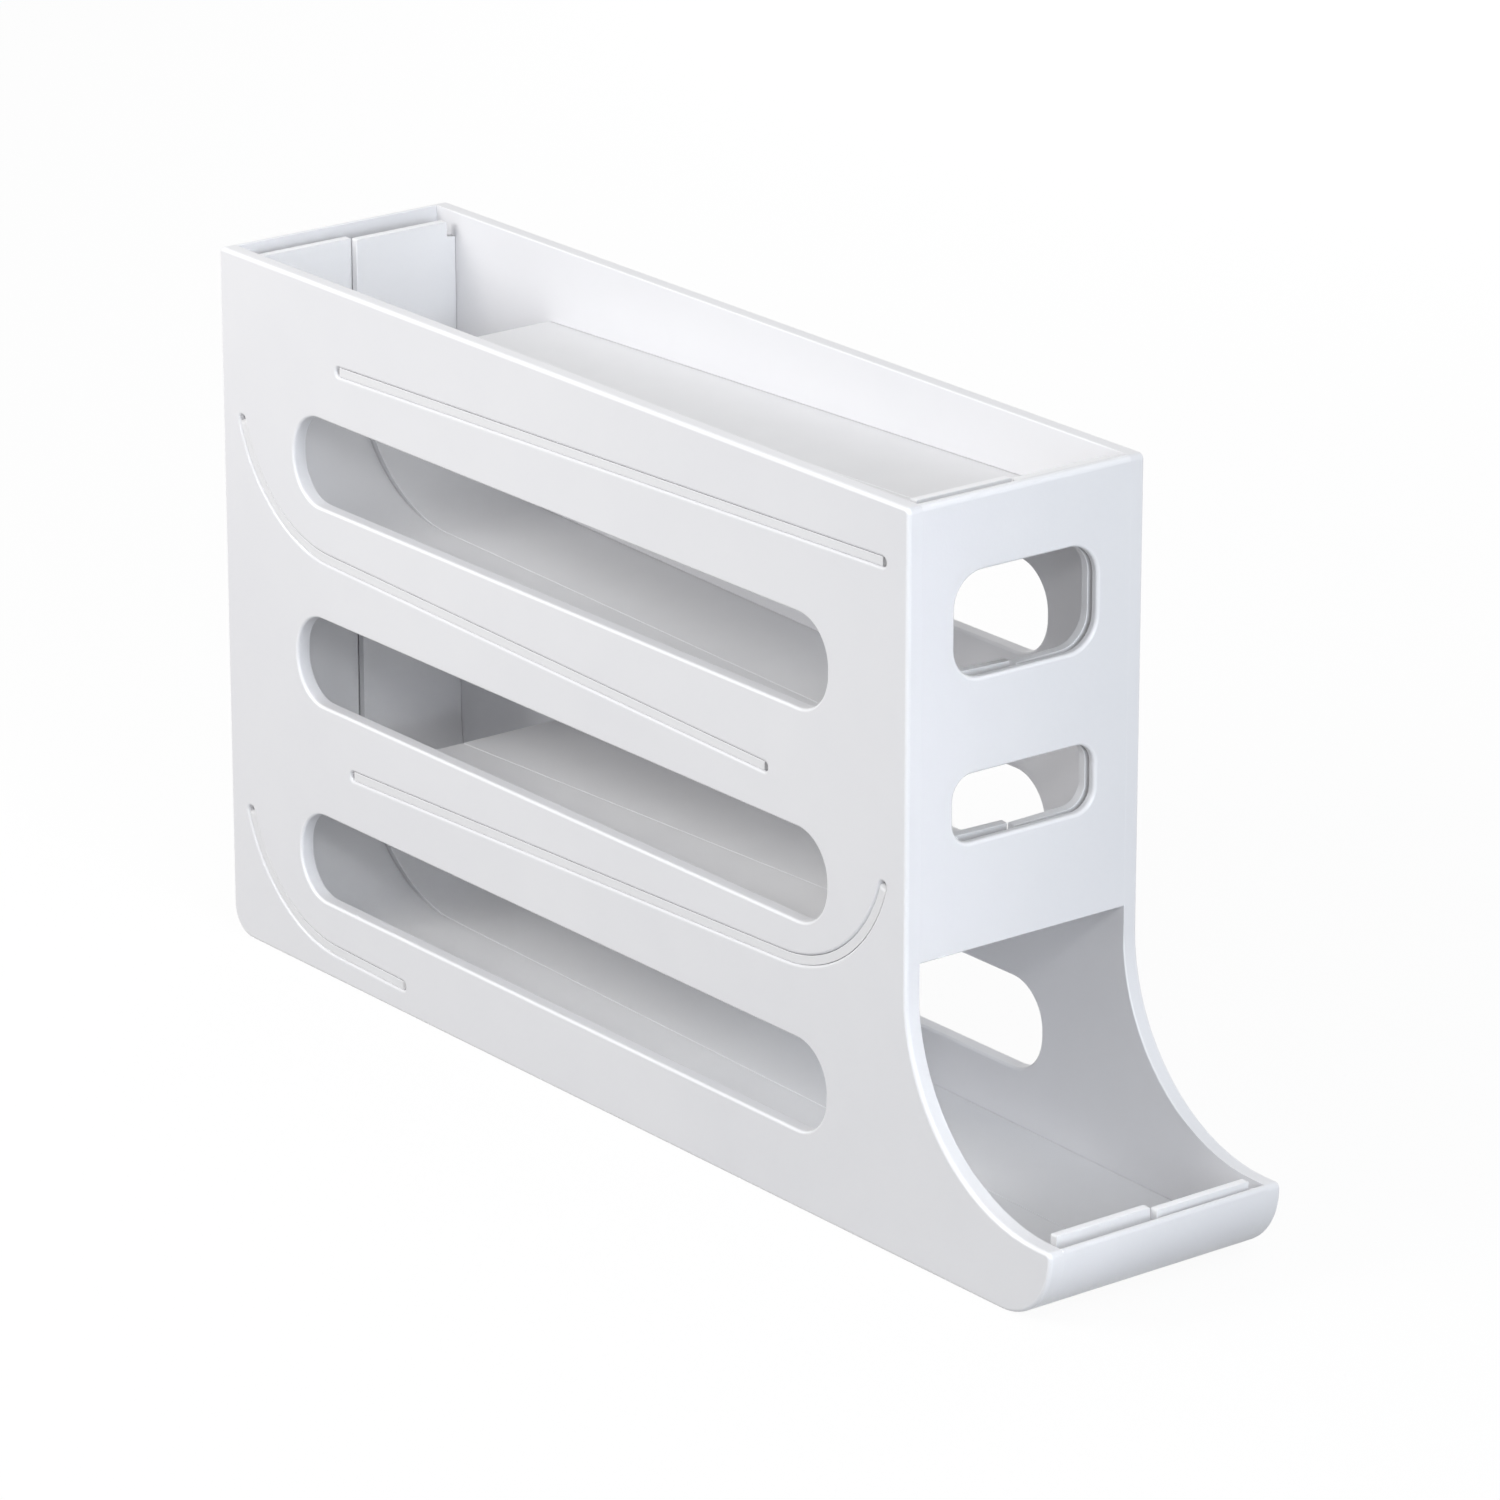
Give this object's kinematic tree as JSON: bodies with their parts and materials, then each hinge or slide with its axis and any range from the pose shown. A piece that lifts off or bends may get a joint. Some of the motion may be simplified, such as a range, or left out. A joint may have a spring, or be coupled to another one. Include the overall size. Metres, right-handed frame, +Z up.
{
  "type": "rolling egg holder",
  "caption": "Narrow open-topped holder whose sloping runners roll round items from the top mouth back and forth down to a lipped front outlet, with level windows in its sides.",
  "frame": {"origin": "middle of the overall box, on the surface it stands on", "axes": "+Z up, the outlet faces -Y, the width runs along X"},
  "size_m": [0.081, 0.38, 0.2125],
  "materials": {
    "panel": "satin moulded",
    "runner": "satin moulded"
  },
  "bodies": {
    "root": {"left_side_panel": "panel", "right_side_panel": "panel", "front_panel": "panel", "rear_panel": "panel", "outlet_lip": "panel", "tier_1_runner_left": "runner", "tier_1_runner_right": "runner", "tier_2_runner_left": "runner", "tier_2_runner_right": "runner", "tier_3_runner_left": "runner", "tier_3_runner_right": "runner", "tier_4_runner_left": "runner", "tier_4_runner_right": "runner"}
  },
  "joints": []
}
